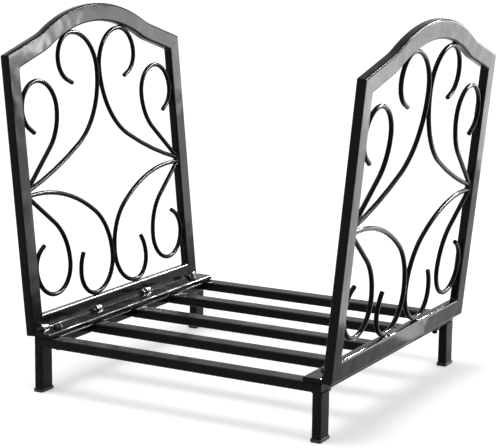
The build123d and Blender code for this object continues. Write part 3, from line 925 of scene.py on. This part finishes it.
# Half outline of a bolt from the flat of its head to its tip: the distance out from its middle
# line and the height above the strip
outline = [(HEAD_FLAT / 2, HEAD_HEIGHT)]
for number in range(1, DOME_STEPS + 1):
    angle = math.pi / 2 - number * DOME_STEP
    out = HEAD_FLAT / 2 + (HEAD - HEAD_FLAT) / 2 * math.cos(angle)
    outline.append((out, HEAD_HEIGHT * (HEAD_RIM + (1 - HEAD_RIM) * math.sin(angle))))
outline += [(HEAD / 2, 0), (SHANK / 2, 0), (SHANK / 2, -SHANK_END)]
for turn in range(THREADS):
    crest = -THREAD_START - turn * THREAD_PITCH
    outline += [(SHANK / 2, crest), (SHANK / 2 - THREAD_DEPTH, crest - THREAD_PITCH / 2)]
outline.append((0, -BOLT_LENGTH))

work = bmesh.new()
for place in bolt_places:
    # The hexagon socket, from its floor up to the flat of the head
    floor_place = place + Vector((0, 0, STRIP_TOP + HEAD_HEIGHT - SOCKET_DEPTH))
    hexagon = bmesh.ops.create_circle(
        work, cap_ends=True, radius=SOCKET / math.sqrt(3), segments=6,
        matrix=Matrix.Translation(floor_place),
    )["verts"]
    sides = each_once(e for v in hexagon for e in v.link_edges if e.is_boundary)
    extrude_along(work, sides, (0, 0, SOCKET_DEPTH))
    # The rest is spun, and the flat of the head then closes the gap round the socket
    points = [work.verts.new(place + Vector((out, 0, STRIP_TOP + up))) for out, up in outline]
    profile = [work.edges.new(pair) for pair in zip(points, points[1:])]
    bmesh.ops.spin(
        work, geom=points + profile, cent=place, axis=(0, 0, 1), angle=math.tau,
        steps=BOLT_FACETS, use_merge=True,
    )
    bmesh.ops.remove_doubles(work, verts=list(work.verts), dist=SAME_PLACE)
    rims = [e for e in work.edges if e.is_boundary]
    bmesh.ops.bridge_loops(work, edges=rims)
finish_piece("panel_button_bolts", work, black_oxide, ["panel_bolts"], sharp=30)

work = bmesh.new()
for place in bolt_places:
    nut = bmesh.new()
    across = NUT / math.sqrt(3)
    hexagon = bmesh.ops.create_circle(nut, cap_ends=True, radius=across, segments=6)["verts"]
    bmesh.ops.extrude_face_region(nut, geom=list(nut.faces))
    moved = [v for v in nut.verts if v not in hexagon]
    bmesh.ops.translate(nut, vec=(0, 0, NUT_HEIGHT), verts=moved)
    for corner in range(6):
        angle = corner * math.pi / 3
        for up, z in ((-1, 0.0), (1, NUT_HEIGHT)):
            for offset in NUT_CUTS:
                out = Vector((math.cos(angle + offset), math.sin(angle + offset), 0))
                point = out * (NUT / 2 + NUT_CHAMFER_OUT) + Vector((0, 0, z))
                cut_off(nut, point, out * NUT_SLANT_OUT + Vector((0, 0, up * NUT_SLANT_UP)))
    under = Vector((0, 0, LEG_TOP - NUT_HEIGHT))
    bmesh.ops.translate(nut, vec=place + under, verts=list(nut.verts))
    mesh = bpy.data.meshes.new("one_nut")
    nut.to_mesh(mesh)
    nut.free()
    work.from_mesh(mesh)
    bpy.data.meshes.remove(mesh)
finish_piece("panel_hexagon_nuts", work, black_oxide, ["panel_nuts"], sharp=20)

# The studio is a plain pale floor in an even white surround, with a soft box overhead. Dark gloss
# shows what it mirrors, so a row of lamps behind the object on the right stands where its flat
# faces, long edges and wires mirror them.

FLOOR_HALF = 12


def eye_sees(tree):
    """1 for rays from the camera, from gloss and through glass, 0 for those that give light."""
    ray = add_node(tree, "ShaderNodeLightPath").outputs
    direct = add_node(
        tree,
        "ShaderNodeMath",
        {0: ray["Is Camera Ray"], 1: ray["Is Glossy Ray"]},
        operation="MAXIMUM",
    )
    every = add_node(
        tree,
        "ShaderNodeMath",
        {0: direct.outputs[0], 1: ray["Is Transmission Ray"]},
        operation="MAXIMUM",
    )
    return every.outputs[0]


# Matt white painted floor: even, with a faint mottle of rolled paint, 330 mm long.
floor_paint, tree, shader, spot = new_material("matt_white_floor_paint")
mottle = add_node(
    tree, "ShaderNodeTexNoise", {"Vector": spot, "Scale": 1 / (333 * MM), "Detail": 3.0}
)
white = add_node(
    tree,
    "ShaderNodeMix",
    {"Factor": mottle.outputs["Fac"], 6: linear("#f2f2f2"), 7: linear("#f8f8f8")},
    data_type="RGBA",
)
tree.links.new(white.outputs[2], shader.inputs["Base Color"])
shader.inputs["Roughness"].default_value = 0.8
# The light of the box overhead falls off across the floor, and the glow rises to make up for it
away = add_node(tree, "ShaderNodeVectorMath", {0: spot}, operation="LENGTH")
rise = add_node(
    tree,
    "ShaderNodeMapRange",
    {"Value": away.outputs["Value"], "From Min": 0.5, "From Max": 3.0, "To Min": 0.36, "To Max": 0.62},
)
glow = add_node(
    tree, "ShaderNodeMath", {0: eye_sees(tree), 1: rise.outputs["Result"]}, operation="MULTIPLY"
)
tree.links.new(glow.outputs[0], shader.inputs["Emission Strength"])
shader.inputs["Emission Color"].default_value = (1, 1, 1, 1)

work = bmesh.new()
bmesh.ops.create_grid(work, x_segments=1, y_segments=1, size=FLOOR_HALF)
mesh = bpy.data.meshes.new("studio_floor")
work.to_mesh(mesh)
work.free()
mesh.materials.append(floor_paint)
floor = bpy.data.objects.new("studio_floor", mesh)
bpy.context.scene.collection.objects.link(floor)
floor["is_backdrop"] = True

surround = bpy.data.worlds.new("white_surround")
bpy.context.scene.world = surround
surround.use_nodes = True
tree = surround.node_tree
background = tree.nodes["Background"]
background.inputs["Color"].default_value = (1, 1, 1, 1)
# White where it is seen, and half as strong where it lights matt surfaces
level = add_node(
    tree, "ShaderNodeMapRange", {"Value": eye_sees(tree), "To Min": 0.5, "To Max": 1.0}
)
tree.links.new(level.outputs["Result"], background.inputs["Strength"])


def turned_to(place, aim, turn):
    """Angles of a lamp or camera that faces its aim, turned about its own axis by some degrees."""
    facing_aim = (Vector(aim) - Vector(place)).to_track_quat("-Z", "Y").to_matrix()
    return (facing_aim @ Matrix.Rotation(math.radians(turn), 3, "Z")).to_euler()


# Lamps: place and what it faces in metres, how far it is turned on its own axis in degrees, size
# in metres, power in watts, and whether matt surfaces get its light too
lamps = (
    ("back_soft_box", (0.58, 1.15, 0.385), (0.58, 0, 0.385), 0, (0.54, 0.25), 4.8, False),
    ("bright_corner_box", (0.8, 1.14, 0.435), (0.8, 0, 0.435), 0, (0.24, 0.1), 2.9, False),
    ("low_soft_box", (0.64, 1.15, 0.13), (0.64, 0, 0.13), 0, (0.64, 0.25), 2.2, False),
    ("edge_strip_light", (0.05, 1.15, 0.88), (0.05, 0, 0.1), 0, (0.14, 0.52), 190.0, False),
    ("wire_strip_light", (0.6, 1.15, 0.92), (0.1, 0, 0.2), 0, (1.1, 0.06), 130.0, False),
    ("high_strip_light", (0.85, 1.15, 1.0), (0.2, 0, 0.2), 0, (0.9, 0.05), 45.0, False),
    ("light_panel_on_floor", (0.84, 1.15, 0.01), (0.84, 1.15, 1.0), 24, (0.34, 2.3), 10.5, False),
    ("overhead_soft_box", (-0.3, -0.3, 2.0), (0, 0, 0.2), 0, (1.2, 1.2), 20.0, True),
)
for name, place, aim, turn, size, power, lights_matt in lamps:
    box = bpy.data.lights.new(name, "AREA")
    box.shape = "RECTANGLE"
    box.size, box.size_y = size
    box.energy = power
    lamp = bpy.data.objects.new(name, box)
    lamp.location = place
    lamp.rotation_euler = turned_to(place, aim, turn)
    lamp.visible_camera = False
    lamp.visible_diffuse = lights_matt
    bpy.context.scene.collection.objects.link(lamp)

# Two lamps are flagged: one draws bright lines along the strips and the rails beside them, the
# other along the wires, and neither reaches the rest
low_pieces = ("flat_bar", "strip_fillets", "end_rail_tube", "bottom_rail_tube")
for name, endings in (("edge_strip_light", low_pieces), ("wire_strip_light", ("scroll_wire",))):
    flagged = bpy.data.collections.new(f"lit_by_{name}")
    for piece in bpy.context.scene.objects:
        if piece.name.endswith(endings):
            flagged.objects.link(piece)
    bpy.data.objects[name].light_linking.receiver_collection = flagged

# The camera stands in front of the object on its right, 1.75 m away, and looks a little down at
# its middle through a long lens. Places are in metres, the tilt in degrees and the lens in mm.

CAMERA_PLACE = (0.82196, -1.50594, 0.49696)
CAMERA_AIM = (-0.00337, 0, 0.1691)
CAMERA_TILT = 0.723
CAMERA_LENS = 117.34

camera_data = bpy.data.cameras.new("camera")
camera_data.sensor_width = 36
camera_data.lens = CAMERA_LENS
camera = bpy.data.objects.new("camera", camera_data)
camera.location = CAMERA_PLACE
camera.rotation_euler = turned_to(CAMERA_PLACE, CAMERA_AIM, CAMERA_TILT)
bpy.context.scene.collection.objects.link(camera)
bpy.context.scene.camera = camera
bpy.context.scene.view_settings.view_transform = "Standard"

sizes = {"cad": [list(c) for c in cad_box], "visual": [list(c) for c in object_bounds()]}
